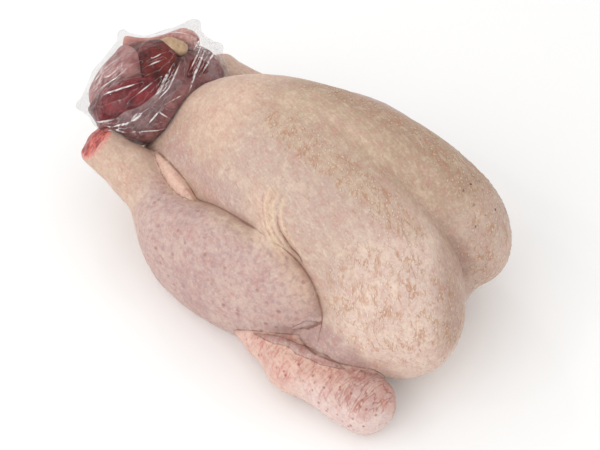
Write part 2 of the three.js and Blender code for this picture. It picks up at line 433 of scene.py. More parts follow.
# Colours of the marks on the skin, their sizes in mm, stretch and turn of those drawn out, and their shares
skinFinish = {
    "pink": (190, 136, 128), "cream": (238, 216, 192), "mauve": (158, 122, 124), "brown": (160, 116, 84),
    # The last colour on the next line is painted shade for the wrist's wrinkles
    "mark": (178, 124, 86), "pore": (150, 102, 96), "flush": (194, 108, 98), "wrinkle": (164, 104, 86),
    # The last two colours on the next line are painted shade: soft in the creases, and in thin lines along
    # them
    "speck": (140, 62, 50), "fold": (116, 70, 50), "shadeLine": (112, 66, 44),
    "broadSize": 24, "coolSize": 38.4, "mottleSize": 7, "streakSize": 2.0, "grainSize": 1.7, "patchSize": 4,
    "poreSize": 8, "markSize": 8, "breakSize": 11, "wrinkleSize": 3.4, "blushSize": 9, "speckSize": 5.5,
    "coolWay": ((1, 1, 1.3), (20, 0, 35)), "streakWay": ((4, 1, 1), (0, 13, -18)),
    "markWay": ((2.6, 1, 1), (0, -45, 128)), "wrinkleWay": ((1, 4, 4), (0, 0, -4)),
    "poreShare": 0.65, "markShare": 0.7, "pleatShare": 0.5, "wristShare": 0.8, "speckShare": 0.6,
    "creaseShadeShare": 0.6, "pullShare": 0.3, "pullRate": 1.4, "pullWander": 14.0, "shadeLineEdge": (1.1, 0.1),
    "roughness": 0.44, "relief": 0.5, "specular": 0.35,
    "subsurface": 0.12, "depth": 4, "depthByColour": (1.0, 0.4, 0.25),
}


def skinMaterial():
    look = skinFinish
    material, wire = newMaterial("raw skin")
    at = wire.place()
    colour = wire.attribute("skinTone", colour=True)
    legged = wire.attribute("leg")
    smooth = 1.0 - legged * 0.6

    def layer(mask, name):
        return mask.mix(colour, paint(look[name]))

    broad = wire.noise(at, look["broadSize"], 3)
    cool = wire.noise(wire.place(*look["coolWay"]), look["coolSize"], 2)
    mottle = wire.noise(at, look["mottleSize"], 3, 0.6, 0.3)
    streak = wire.noise(wire.place(*look["streakWay"]), look["streakSize"], 3, 0.6, 0.4)
    grain = wire.noise(at, look["grainSize"], 2, 0.5)
    colour = layer(broad.steps(0.5, 0.75) * 0.22, "pink")
    colour = layer(broad.steps(0.48, 0.25) * 0.22, "cream")
    colour = layer(cool.steps(0.5, 0.7) * (0.16 + 0.2 * legged), "mauve")
    colour = layer(mottle.steps(0.48, 0.7) * 0.38, "pink")
    colour = layer(mottle.steps(0.5, 0.3) * (0.2 - 0.1 * legged), "cream")
    colour = layer(streak.steps(0.53, 0.72) * smooth * 0.31, "brown")
    colour = layer(streak.steps(0.47, 0.28) * smooth * 0.26, "cream")
    colour = layer(grain.steps(0.52, 0.75) * smooth * 0.21, "brown")
    colour = layer(grain.steps(0.48, 0.25) * 0.22, "cream")

    # Patches and pores of the legs
    patches = wire.noise(at, look["patchSize"], 3, 0.6)
    colour = layer(patches.steps(0.46, 0.68) * legged * 0.46, "mauve")
    pores = wire.cells(at, look["poreSize"]).steps(0.28, 0.1) * broad.steps(0.35, 0.6) * legged
    colour = layer(pores * look["poreShare"], "pore")
    colour = layer(patches.steps(0.46, 0.28) * legged * 0.12, "cream")

    # Broken wavy marks where the feathers grew
    wavy = wire.noise(wire.place(*look["markWay"]), look["markSize"], 3, 0.62, 0.5) - 0.5
    broken = wire.noise(at, look["breakSize"], 3, 0.65).steps(0.36, 0.62)
    marks = wavy.nearZero(0.05) * broken * wire.attribute("tract")
    colour = layer(marks * look["markShare"], "mark")

    # Wrinkles, flush and specks of the wings
    wrinkle = wire.noise(wire.place(*look["wrinkleWay"]), look["wrinkleSize"], 2, 0.5, 0.3) - 0.5
    lines = wrinkle.nearZero(0.08) * wire.attribute("pleats") * mottle.steps(0.4, 0.56)
    colour = layer(lines * look["pleatShare"], "flush")
    # Painted shade in the wrist's wrinkles
    colour = layer(wrinkle.nearZero(0.07) * wire.attribute("wrist") * look["wristShare"], "wrinkle")
    blush = wire.noise(at, look["blushSize"], 4, 0.6).steps(0.4, 0.75)
    colour = layer(wire.attribute("flush") * blush, "flush")
    specks = wire.cells(at, look["speckSize"]).steps(0.27, 0.1) * broad.steps(0.34, 0.54)
    colour = layer(specks * wire.attribute("wing") * look["speckShare"], "speck")

    # Painted shade in the creases, painted shade and highlight on the fan of fine wrinkles beside the knee,
    # and thin lines of painted shade along the creases
    colour = layer(wire.attribute("fold") * look["creaseShadeShare"], "fold")
    # The fan of fine wrinkles: painted shade in its troughs and a painted highlight in cream on its crests
    pullShading = wire.maths("SINE", wire.attribute("pull") * look["pullRate"] + broad * look["pullWander"])
    pullShare = wire.attribute("pullShare") * mottle.steps(0.36, 0.6) * look["pullShare"]
    colour = layer(pullShading.steps(0.6, 1.0) * pullShare, "shadeLine")
    colour = layer(pullShading.steps(-0.2, -1.0) * pullShare, "cream")
    # Thin lines of painted shade along the creases, stronger in places
    shadeStrength = 0.25 + 0.45 * mottle.steps(0.3, 0.6)
    for shadeLine in ("legShadeLine", "groinShadeLine", "flankShadeLine", "hemShadeLine", "wingShadeLine"):
        colour = layer(wire.attribute(shadeLine).nearZero(*look["shadeLineEdge"]) * shadeStrength, "shadeLine")

    relief = mottle * 0.7 + streak * 0.4 + grain * 0.3 - marks * 0.6 - lines * 0.9
    wire.surface({
        "Base Color": colour, "Roughness": look["roughness"] + streak * 0.14,
        "Normal": relief.bump(look["relief"]), "Specular IOR Level": look["specular"],
        "Subsurface Weight": look["subsurface"], "Subsurface Radius": look["depthByColour"],
        "Subsurface Scale": look["depth"] * mm,
    })
    return material


# Tones of the skin. The shade and far side tones are painted shade; the crown tone is painted light, and
# the band and ridge tones are painted highlights
skinTones = {
    "belly": (192, 163, 146), "breast": (190, 166, 152), "front": (217, 193, 180), "tan": (188, 161, 136),
    "leg": (188, 161, 154), "shank": (196, 168, 149), "wing": (212, 172, 158), "wingLow": (217, 194, 189),
    "web": (177, 147, 142), "farShade": (168, 141, 119), "ridge": (192, 168, 144), "cutRim": (206, 150, 136),
    "hem": (172, 144, 138), "tendon": (214, 186, 154), "bandLight": (206, 176, 158), "crownLight": (206, 177, 157),
    "foldRidge": (219, 182, 164), "shade": (178, 150, 134), "wrist": (192, 160, 155),
    "wristRim": (176, 112, 104), "veil": (180, 152, 148),
}

# Heights of the relief on the skin in mm; waves and lumps have their size, height and seed
skinRelief = {
    "waves": ((42, 0.9, 3), (15, 0.35, 4), (6, 0.2, 5)), "wingLumps": (13, 1.2, 8), "pleats": 1.0,
    "keel": 0.7, "groinLine": 0.9, "strands": 0.9, "strandPlaces": (-3.6, 2.6, 6.2, 9.6), "groove": 1.8,
}

# Round patches of the skin that feathers grew on: centre and half sizes
skinPatches = {
    "front": ((116, -66, 88), (58, 42, 46)), "farFront": ((134, 26, 90), (36, 28, 44)),
    "pins": ((118, 32, 118), (30, 22, 26)),
}


def patchReach(p, name):
    centre, half = skinPatches[name]
    return np.linalg.norm((p - centre) / half, axis=1)


# The crease between flank and knee, strands of pulled skin along it, and the fan of fine wrinkles there
def flankCrease(p, q, mirrored):
    far, travel, side = alongLine(q, skinLines["flankFold"], mirrored)
    side = side + 0.7 * softNoise(p, 12, 12)
    share = ramp(travel, 18, 46) * ramp(travel, 64, 54) * ramp(far, 14, 8)
    high = ramp(travel, 62, 34) * ramp(far, 24, 16) * ramp(travel, -1, 8)
    strands = sum(bell(side + place, 1.2) for place in skinRelief["strandPlaces"]) * high
    pullShare = ramp(travel, 60, 34) * ramp(travel, -2, 16) * ramp(far, 22, 8) * ramp(side, 7, 3)
    return SimpleNamespace(
        side=side, share=share, groove=bell(side, 1.7) * share, strands=strands,
        pull=side / between(1.7, 0.8, ramp(travel, 0, 50)), pullShare=pullShare,
    )


# Where points of the skin are: distances to the bird's parts and lines, and their share in each zone
def skinZones(p, normal):
    x, y, z = p.T
    q = nearSide(p)
    mirrored = normal * np.where(p[:, 1:2] > 0, (1, -1, 1), (1, 1, 1))
    part = birdParts(p)
    zone = SimpleNamespace(part=part, bridge=flankBridge(p), hock=hockDistance(q))
    zone.toWing = np.minimum(part.nearWing, part.farWing)
    zone.toArm = np.minimum(part.nearArm, part.farArm)
    zone.toBody = np.minimum(part.body, part.leg)
    zone.toRest = np.minimum(zone.toBody, zone.toArm)
    zone.hemSide = np.minimum(zone.toRest, zone.toWing) - part.hem
    zone.wing = ramp(zone.toRest - zone.toWing, -1, 3)
    zone.web = ramp(zone.toBody - zone.toArm, -2, 5) * (1 - zone.wing)
    zone.leg = ramp(part.body - part.leg, -4, 8) * (1 - zone.wing) * (1 - zone.web)
    zone.offLeg = 1 - zone.leg
    zone.breast = ramp(part.flank - part.breast, -10, 10) * zone.offLeg
    zone.breast = zone.breast * (1 - zone.wing) * (1 - zone.web)
    zone.shank = zone.leg * ramp(x, -90, -125)
    zone.hem = ramp(zone.hemSide, -0.5, 1)
    zone.ridge = ramp(zone.toBody - part.groinFold, -1, 2)
    zone.keel = bell(y, 4.5) * ramp(x, -95, -60) * ramp(x, 122, 95) * ramp(z, 92, 112)

    nearTravel = alongLine(p, bird["nearWing"], normal)[1]
    farTravel = alongLine(p, bird["farWing"], normal)[1]
    zone.travel = np.where(y < 0, nearTravel, farTravel)
    zone.wrist = bell(nearTravel, 20) * (y < 0) * zone.wing
    zone.upper = ramp(z, 24, 38)
    across = np.stack([zone.travel * 4, y, z], 1)
    zone.pleats = bell(softNoise(across, 24, 6), 0.16) * zone.upper

    zone.front = patchReach(q, "front")
    zone.toFeathers = alongLine(q, skinLines["featherLine"], mirrored)[0]
    zone.toBand = alongLine(q, skinLines["flankBand"], mirrored)[0]
    zone.toVeil = alongLine(q, skinLines["bellyVeil"], mirrored)[0]
    zone.crease = flankCrease(p, q, mirrored)
    return zone


# Relief that the skin has over the smooth volumes
def skinLift(p, zone):
    part = zone.part
    lift = sum(height * softNoise(p, size, seed) for size, height, seed in skinRelief["waves"])
    lift = lift * ramp(p[:, 2], 0, 12) * (1 - 0.7 * zone.ridge)
    groinLine = bell(part.groinFold - part.body + 4, 1.2) * zone.ridge
    lift += skinRelief["keel"] * zone.keel - skinRelief["groinLine"] * groinLine
    size, height, seed = skinRelief["wingLumps"]
    lumps = height * softNoise(p, size, seed) - skinRelief["pleats"] * zone.pleats
    lift += zone.wing * lumps * ramp(zone.travel, 0, 8)
    lift += skinRelief["strands"] * zone.crease.strands - skinRelief["groove"] * zone.crease.groove
    return lift


# The colour of the skin from place to place, laid on in coats, some of which are painted light and shade
def skinColour(p, zone):
    x, y, z = p.T
    # Painted shade: darker on the far flank, which is turned from the light, and towards the front along
    # the top of the keel
    farFlankShade = ramp(y, 2, 26) * ramp(z, 40, 90) * ramp(x, 125, 105) * ramp(x, -95, -40)
    keelTopShade = ramp(x, 25, 65) * ramp(x, 125, 95) * ramp(np.abs(y + 3), 18, 6) * ramp(z, 100, 125)
    # Painted highlight along the keel ridge at its highest
    keelHighlight = bell(y, 3) * ramp(x, -10, 8) * ramp(x, 50, 36) * ramp(z, 120, 140)
    # Painted shade on the right face of the near lobe by the cleft, the face turned from the light
    cleft = ramp(0.788 * x + 0.616 * y, 70, 88) * ramp(y, 8, -4) * ramp(z, 45, 70)
    # Painted shade: tan on the upper leg near its crease with the body
    legShadeByBody = zone.leg * (1 - zone.shank) * ramp(zone.part.body, 17, 3) * ramp(z, 60, 80)
    *wrist, radius = bird["nearWing"][0]
    wristEnd = (p - wrist) @ np.array((0.79, 0.61, 0.1)) / radius
    coats = [
        ("breast", zone.breast),
        ("front", zone.breast * ramp(x, 55, 110) * ramp(y, 5, -25)),
        ("tan", 0.5 * ramp(zone.toFeathers, 14, 3)),
        ("tan", 0.85 * zone.offLeg * ramp(z, 100, 145) * ramp(y, -34, -5) * ramp(x, -85, -30)),
        # Painted shade on the far flank and along the top of the keel
        ("farShade", 0.9 * zone.offLeg * farFlankShade),
        ("farShade", 0.4 * keelTopShade),
        # Painted shade on the near lobe's right face
        ("shade", 0.9 * cleft),
        ("front", 0.4 * zone.breast * ramp(y, 5, 20) * ramp(x, 100, 125) * ramp(z, 100, 75)),
        # Painted light: lighter on top towards the tail end
        ("crownLight", zone.offLeg * ramp(x, -35, -70) * ramp(z, 112, 134)),
        ("leg", zone.leg),
        # Painted shade on the upper leg by the body crease
        ("tan", 0.8 * legShadeByBody),
        ("shank", zone.shank),
        # Painted highlight along the band of stretched skin on the flank
        ("bandLight", 0.8 * bell(zone.toBand, 11)),
        ("veil", 0.65 * zone.offLeg * bell(zone.toVeil, 10)),
        ("foldRidge", zone.ridge),
        ("wing", zone.wing),
        ("wingLow", zone.wing * ramp(z, 44, 32) * (0.2 + 0.8 * ramp(x, 60, 95))),
        ("web", zone.web),
        ("wrist", zone.wrist * ramp(z, 30, 40)),
        ("wristRim", 0.6 * zone.wrist * ramp(wristEnd, 0.72, 0.98) * ramp(z, 8, 20)),
        ("hem", zone.hem),
        # Painted highlight: a lighter line along the keel ridge
        ("ridge", 0.4 * zone.keel),
        # Painted highlight: a lighter band along the keel ridge
        ("bandLight", 0.5 * keelHighlight),
        ("tendon", 0.75 * zone.crease.strands),
        ("cutRim", ramp(zone.hock, -2.6, -0.8) * (zone.part.shank < 4)),
    ]
    tone = np.tile(linear(skinTones["belly"]), (len(p), 1))
    for name, share in coats:
        tone = between(tone, linear(skinTones[name]), np.clip(share, 0, 1)[:, None])
    return tone


# Distances to the creases that carry thin lines of painted shade, drawn out where a line fades, so that it
# gets thinner there
def skinShadeLines(p, zone):
    part = zone.part
    z = p[:, 2]
    alongRidge = np.abs(p[:, 0] + 95)

    def shadeLine(side, share):
        return np.clip(side / np.maximum(share, 0.04), -20, 20)

    legShare = 1.5 * ramp(z, 45, 70) * (1 - zone.bridge) * (1 - (alongRidge < 36) * zone.ridge)
    groinShare = ramp(alongRidge, 42, 20) * between(0.4, 1.6, part.leg > 1)
    return {
        "legShadeLine": shadeLine(part.body - part.leg, legShare),
        "groinShadeLine": shadeLine(zone.toBody - part.groinFold, groinShare),
        "flankShadeLine": shadeLine(zone.crease.side, 0.8 * zone.crease.share),
        "hemShadeLine": shadeLine(zone.hemSide, 0.8),
        "wingShadeLine": shadeLine(zone.toRest - zone.toWing, 1.2 * ramp(z, 18, 34)),
    }


# What the skin's material and the small things on it read from its points
def skinMasks(p, zone):
    part = zone.part
    x, z = p[:, 0], p[:, 2]

    # Painted shade in the creases, where two forms meet or a groove runs
    def fold(a, b, reach):
        return bell(np.abs(a) + np.abs(b), reach)

    creaseShades = np.maximum.reduce([
        0.85 * fold(part.body, part.leg, 3) * ramp(z, 30, 60) * (1 - zone.bridge),
        0.5 * fold(part.groinFold, zone.toBody, 2),
        0.6 * fold(zone.toBody, zone.toWing, 2.2),
        0.6 * fold(zone.toArm, zone.toWing, 2.2),
        0.45 * fold(part.near, part.far, 4),
        0.5 * zone.crease.groove,
    ])
    tract = np.maximum.reduce([
        ramp(zone.front, 1.25, 0.7) * zone.breast,
        ramp(zone.toFeathers, 17, 6) * (zone.breast + 0.3 * zone.offLeg),
        0.9 * ramp(patchReach(p, "farFront"), 1.2, 0.6) * zone.breast,
    ])
    wristTop = zone.wrist * ramp(z, 26, 38)
    flush = 0.35 * zone.wing * zone.pleats + 0.4 * ramp(x, 118, 138) * zone.wing * wristTop
    hairs = np.maximum(0.5 * ramp(zone.toFeathers, 24, 8), ramp(zone.front, 1.5, 0.8))
    return {
        "skinTone": skinColour(p, zone), "tract": np.clip(tract, 0, 1), "fold": np.clip(creaseShades, 0, 1),
        "leg": np.clip(zone.leg * (1 - 0.65 * zone.shank), 0, 1), "wing": zone.wing,
        "pleats": zone.wing * zone.upper * ramp(zone.travel, 8, 30), "wrist": wristTop,
        "flush": np.clip(flush, 0, 1), "hairs": hairs * zone.offLeg * (1 - zone.wing),
        "pins": ramp(patchReach(p, "pins"), 1.1, 0.6),
        "pull": zone.crease.pull, "pullShare": zone.crease.pullShare, **skinShadeLines(p, zone),
    }


def makeSkin():
    points, faces = surfaceOf(birdField, *bird["box"], bird["grid"])
    normal = unit(slopes(birdField, points))
    zone = skinZones(points, normal)
    masks = skinMasks(points, zone)
    points = points + normal * skinLift(points, zone)[:, None]
    points[:, 2] = np.maximum(points[:, 2], 0)
    skin = meshPiece("turkey_skin", points, faces, skinMaterial(), masks)
    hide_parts("turkey")
    return skin


# Small raised things on the skin: where they lie, their spacing and half sizes in mm, the way they point,
# and their colours, with high a painted highlight on their tops
scatters = {
    "goose_bumps": {
        "mask": "tract", "spacing": 2.9, "density": 90000, "smallest": 0.5, "largest": 1.2, "seed": 7,
        "half": (1.5, 0.8, 0.4), "grain": (-0.43, 0.56, 0.7), "stray": 0.5,
        "low": (178, 124, 84), "dark": 0.4, "high": (226, 200, 176),
    },
    "hair_strokes": {
        "mask": "hairs", "spacing": 5.5, "density": 40000, "smallest": 0.5, "largest": 1.2, "seed": 8,
        "half": (4.2, 0.2, 0.18), "grain": (-0.35, 0.5, 0.75), "stray": 0.4,
        "low": (212, 186, 160), "dark": 1.0, "high": (224, 200, 174),
    },
    "pin_spots": {
        "mask": "pins", "spacing": 8, "density": 20000, "smallest": 0.6, "largest": 1.3, "seed": 9,
        "half": (1.5, 0.9, 0.4), "grain": (0, 1, 0.2), "stray": 1.0,
        "low": (84, 50, 38), "dark": 1.0, "high": (120, 76, 56),
    },
}


def scatterMaterial(name, look):
    material, wire = newMaterial(name.replace("_", " "))
    tone = wire.attribute("skinTone", colour=True)
    low = (wire.attribute("tint").steps(0.1, 0.9) * look["dark"]).mix(tone, paint(look["low"]))
    # Lighter towards each mound's top: a painted highlight
    colour = (wire.attribute("rise").steps(0.3, 1.0) * 0.6).mix(low, paint(look["high"]))
    wire.surface({"Base Color": colour, "Roughness": 0.5})
    return material


# Low mounds on the skin, as many as a mask on it asks for, turned along the grain of the skin
def scatterTree(name, look, material):
    tree = bpy.data.node_groups.new(name, "GeometryNodeTree")
    sockets = {"Skin": tree.interface.new_socket("Skin", in_out="INPUT", socket_type="NodeSocketGeometry")}
    for key in ("Spacing", "Density", "Smallest", "Largest"):
        sockets[key] = tree.interface.new_socket(key, in_out="INPUT", socket_type="NodeSocketFloat")
    sockets["Seed"] = tree.interface.new_socket("Seed", in_out="INPUT", socket_type="NodeSocketInt")
    tree.interface.new_socket("Mounds", in_out="OUTPUT", socket_type="NodeSocketGeometry")
    wire = Wire(tree)
    start = tree.nodes.new("NodeGroupInput")
    given = {key: Wire(tree, start.outputs[key]) for key in sockets}

    def stored(geometry, name, value):
        return wire.make("GeometryNodeStoreNamedAttribute", {"data_type": "FLOAT", "domain": "POINT"},
                         {"Geometry": geometry, "Name": name, "Value": value})

    # Inputs 0 and 1 bound a random vector, 2 and 3 a random number, which is output 1
    def drawn(kind, bounds, step, out):
        return wire.make("FunctionNodeRandomValue", {"data_type": kind},
                         {**bounds, "Seed": given["Seed"] + step}, out)

    where = wire.make("GeometryNodeInputNamedAttribute", {"data_type": "FLOAT"}, {"Name": look["mask"]})
    spread = wire.make("GeometryNodeDistributePointsOnFaces", {"distribute_method": "POISSON"}, {
        "Mesh": given["Skin"], "Distance Min": given["Spacing"], "Density Max": given["Density"],
        "Density Factor": where, "Seed": given["Seed"],
    })
    upright = Wire(tree, spread.socket.node.outputs["Rotation"])
    tinted = stored(spread, "tint", drawn("FLOAT", {2: 0.0, 3: 1.0}, 1, 1))
    least = [way - look["stray"] for way in look["grain"]]
    most = [way + look["stray"] for way in look["grain"]]
    turned = wire.make("FunctionNodeAlignRotationToVector", {"axis": "X", "pivot_axis": "Z"},
                       {"Rotation": upright, "Vector": drawn("FLOAT_VECTOR", {0: least, 1: most}, 2, 0)})
    ball = wire.make("GeometryNodeMeshUVSphere", {}, {"Segments": 6, "Rings": 4, "Radius": mm})
    shaped = wire.make("GeometryNodeTransform", {}, {"Geometry": ball, "Scale": look["half"]})
    height = wire.make("ShaderNodeSeparateXYZ", {}, {0: wire.make("GeometryNodeInputPosition")}, "Z")
    marked = stored(shaped, "rise", height * (1 / (look["half"][2] * mm)))
    sizes = drawn("FLOAT", {2: given["Smallest"], 3: given["Largest"]}, 0, 1)
    placed = wire.make("GeometryNodeInstanceOnPoints", {}, {
        "Points": tinted, "Instance": marked, "Rotation": turned, "Scale": sizes,
    })
    real = wire.make("GeometryNodeRealizeInstances", {}, {"Geometry": placed})
    painted = wire.make("GeometryNodeSetMaterial", {}, {"Geometry": real, "Material": material})
    wire.make("NodeGroupOutput", {}, {"Mounds": painted})
    return tree, {key: socket.identifier for key, socket in sockets.items()}


def makeScatter(skin, name):
    look = scatters[name]
    tree, names = scatterTree(name, look, scatterMaterial(name, look))
    holder = bpy.data.objects.new("holder", skin.data.copy())
    scene.collection.objects.link(holder)
    modifier = holder.modifiers.new(name, "NODES")
    modifier.node_group = tree
    modifier[names["Spacing"]] = look["spacing"] * mm
    for key in ("Density", "Smallest", "Largest"):
        modifier[names[key]] = float(look[key.lower()])
    modifier[names["Seed"]] = look["seed"]
    graph = bpy.context.evaluated_depsgraph_get()
    mesh = bpy.data.meshes.new_from_object(holder.evaluated_get(graph))
    bpy.data.objects.remove(holder)
    mesh.name = name
    mesh.polygons.foreach_set("use_smooth", np.ones(len(mesh.polygons), bool))
    piece = bpy.data.objects.new(name, mesh)
    scene.collection.objects.link(piece)
    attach(piece, "root")
    print(f"{name}: {len(mesh.polygons)} faces")


hock = {
    "inset": 0.7, "thick": 5, "dome": 3.0, "domeReach": 12, "lumps": 1.0, "lumpSize": 6, "seed": 21,
    "reach": 28, "grid": 0.9, "marbleSize": 4.5, "grainSize": 1.4, "roughness": 0.4, "relief": 0.6,
    "dark": (134, 32, 29), "light": (204, 90, 76), "grain": (226, 150, 132), "rim": (222, 160, 146),
}


def cutMaterial():
    material, wire = newMaterial("cut hock")
    at = wire.place()
    marble = wire.noise(at, hock["marbleSize"], 4, 0.65, 0.4)
    grain = wire.noise(at, hock["grainSize"], 3, 0.6)
    colour = marble.steps(0.4, 0.62).mix(paint(hock["dark"]), paint(hock["light"]))
    colour = (grain.steps(0.54, 0.7) * 0.6).mix(colour, paint(hock["grain"]))
    colour = (wire.attribute("rim").steps(0.78, 1.0) * 0.8).mix(colour, paint(hock["rim"]))
    bump = (marble * 0.6 + grain * 0.4).bump(hock["relief"])
    wire.surface({
        "Base Color": colour, "Roughness": hock["roughness"], "Normal": bump, "Subsurface Weight": 0.1,
        "Subsurface Radius": (1.0, 0.3, 0.2), "Subsurface Scale": 3 * mm,
    })
    return material


# The red flesh of the two cut hocks, a low knobbly dome inside the rim of skin
def makeHockCuts():
    material = cutMaterial()
    hockX, hockY, hockZ, radius = bird["shank"][0]

    def capField(p):
        q = nearSide(p)
        above = hockDistance(q)
        side = limb(q, bird["shank"]) + hock["inset"]
        knobs = hock["lumps"] * softNoise(p, hock["lumpSize"], hock["seed"])
        dome = above - hock["dome"] * np.clip(-side / hock["domeReach"], 0, 1) - knobs
        return np.maximum(cutBack(side, dome, 2), -above - hock["thick"])

    for name, sign in (("near", 1), ("far", -1)):
        centre = np.array((hockX, hockY * sign, hockZ))
        points, faces = surfaceOf(capField, centre - hock["reach"], centre + hock["reach"], hock["grid"])
        rim = 1 + limb(nearSide(points), bird["shank"]) / radius
        meshPiece(f"hock_cut_{name}", points, faces, material, {"rim": rim})


bag = {
    "sack": ((-170, 2, 93), (52, 61, 41), (-4, -7, 1)),
    "corners": [[(-190, -25, 92, 26), (-213, -44, 83, 4)], [(-190, 5, 108, 26), (-212, 9, 124, 4)],
                [(-168, 28, 108, 26), (-170, 48, 129, 4)], [(-155, 32, 104, 26), (-146, 52, 116, 4)]],
    "cornerJoin": 14, "waveDepth": 2.5, "waveLength": 52, "gap": 0.2,
    "box": ((-232, -72, 40), (-110, 76, 150)), "grid": 1.15,
    # Size, depth and seed of the small creases, large ones first, and the way they are drawn out
    "creases": ((13, 3.0, 31), (6, 1.3, 32)), "creaseAlong": (0.25, 0.83, 0.5), "stretch": 2.6,
    # Milky places of the film: the middle, reach and strength of each
    "milky": [((-190, -34, 117), 21, 0.34), ((-150, 46, 122), 22, 0.6), ((-206, -20, 106), 12, 0.3),
              ((-144, -50, 95), 9, 0.3)],
    # Painted highlights along creases of the film, white lines where glints would be: the points of each,
    # and how wide it is
    "shine": [
        ([(-143, -31, 118), (-142, -22, 124), (-147, -4, 130)], 1.6),
        ([(-140, -29, 117), (-138, -18, 122), (-145, 3, 129)], 0.8),
        ([(-150, -51, 104), (-147, -46, 108), (-145, -42, 110)], 2.4),
        ([(-138, -43, 103), (-136, -33, 110)], 0.9), ([(-137, -33, 110), (-129, -30, 105)], 0.8),
        ([(-162, -60, 98), (-148, -50, 105)], 1.1),
        ([(-181, -49, 113), (-167, -40, 122), (-158, -31, 126)], 0.9),
        ([(-206, -40, 104), (-196, -29, 121), (-189, -17, 128)], 0.6),
        ([(-202, -44, 101), (-186, -34, 122), (-178, -22, 130)], 0.5),
        ([(-192, -48, 106), (-180, -36, 123), (-171, -21, 132)], 0.5),
        ([(-198, 8, 128), (-180, 24, 131), (-162, 33, 133)], 0.9),
        ([(-127, -7, 117), (-134, 10, 123), (-145, 34, 126)], 1.2),
        ([(-131, 14, 121), (-143, 45, 121)], 1.0), ([(-138, 8, 125), (-152, 40, 127)], 0.8),
        ([(-150, 26, 128), (-158, 47, 127)], 0.8), ([(-160, -17, 133), (-156, -5, 134)], 0.9),
        ([(-163, -10, 134), (-160, 0, 135)], 0.6), ([(-182, -61, 93), (-162, -57, 104)], 0.9),
        ([(-155, -36, 119), (-148, -20, 128)], 0.6),
        ([(-169, -59, 97), (-159, -57, 96), (-151, -54, 95)], 0.8),
        ([(-151, -54, 95), (-138, -45, 96), (-129, -35, 97)], 0.7),
        ([(-133, -25, 115), (-129, -14, 117)], 0.6),
    ],
    # The white on the next line is both the film's milky haze and its painted highlights
    "clear": (50, 40, 42), "milkAndGlint": (244, 240, 238), "clearShare": 0.09, "milkAndGlintShare": 0.75,
    "fineSize": 2.2, "fineWay": ((3, 1, 1), (0, -30, 73)), "roughness": 0.07, "ior": 2.2, "relief": 0.12,
}


def bagField(p):
    result = rounded(p, bag["sack"])
    for corner in bag["corners"]:
        result = merged(result, limb(p, corner), bag["cornerJoin"])
    wave = np.sin(p * (2 * math.pi / bag["waveLength"])).sum(1) / 3
    return cutBack(result + bag["waveDepth"] * wave, bag["gap"] - birdField(p), 2)


# Bowls that meet in sharp ridges: the squared distance to the nearest middle, and to the nearest ridge
def bowls(p, size, seed):
    count = 24
    jitter = np.random.default_rng(seed).uniform(-0.45, 0.45, (count, count, count, 3)).astype(np.float32)
    scaled = p / size
    base = np.floor(scaled).astype(np.int64)
    first = np.full(len(p), 9, np.float32)
    second = first
    for step in np.ndindex(3, 3, 3):
        cell = base + np.array(step) - 1
        i, j, k = (cell % count).T
        far = np.linalg.norm(scaled - cell - 0.5 - jitter[i, j, k], axis=1)
        second = np.minimum(second, np.maximum(first, far))
        first = np.minimum(first, far)
    return first ** 2, second - first


def filmMaterial():
    material, wire = newMaterial("clear film")
    fine = wire.noise(wire.place(*bag["fineWay"]), bag["fineSize"], 4, 0.7, 0.6)
    # Milky haze of the film, with painted sheen at grazing angles and painted highlights along its creases
    # and large ridges
    edge = wire.make("ShaderNodeLayerWeight", {}, {"Blend": 0.25}, "Facing")
    haze = wire.attribute("haze") * fine.steps(0.4, 0.68)
    shine = wire.attribute("shine").nearZero(1.0, 0.4) * fine.steps(0.3, 0.6) * 0.9
    ridge = wire.attribute("ridge").steps(0.9, 0.2) * fine.steps(0.5, 0.7) * 0.14
    rim = wire.attribute("rim") * fine * 0.35
    milkAndGlint = haze + edge ** 2.0 * 0.4 + shine + ridge + rim
    colour = milkAndGlint.steps(0.0, 0.25).mix(paint(bag["clear"]), paint(bag["milkAndGlint"]))
    gloss = wire.make("ShaderNodeBsdfPrincipled", {}, {
        "Base Color": colour, "Roughness": bag["roughness"], "IOR": bag["ior"],
        "Normal": fine.bump(bag["relief"]),
    })
    clear = wire.make("ShaderNodeBsdfTransparent", {}, {"Color": (1, 1, 1, 1)})
    share = bag["clearShare"] + milkAndGlint * bag["milkAndGlintShare"]
    film = wire.make("ShaderNodeMixShader", {}, {0: share, 1: clear, 2: gloss})
    wire.finish(film)
    return material


# Signed distance to the nearest painted highlight along a crease, in its widths; a highlight tapers towards
# both ends
def filmShine(points, normal):
    shine = np.full(len(points), 9, np.float32)
    nearest = np.full(len(points), 9, np.float32)
    for line, width in bag["shine"]:
        far, travel, side = alongLine(points, line, normal)
        length = sum(math.dist(a, b) for a, b in zip(line, line[1:]))
        taper = np.clip(np.minimum(travel, length - travel) / length * 4, 0.05, 1)
        shine = np.where(far < nearest, np.clip(side / (width * taper), -9, 9), shine)
        nearest = np.minimum(far, nearest)
    return shine


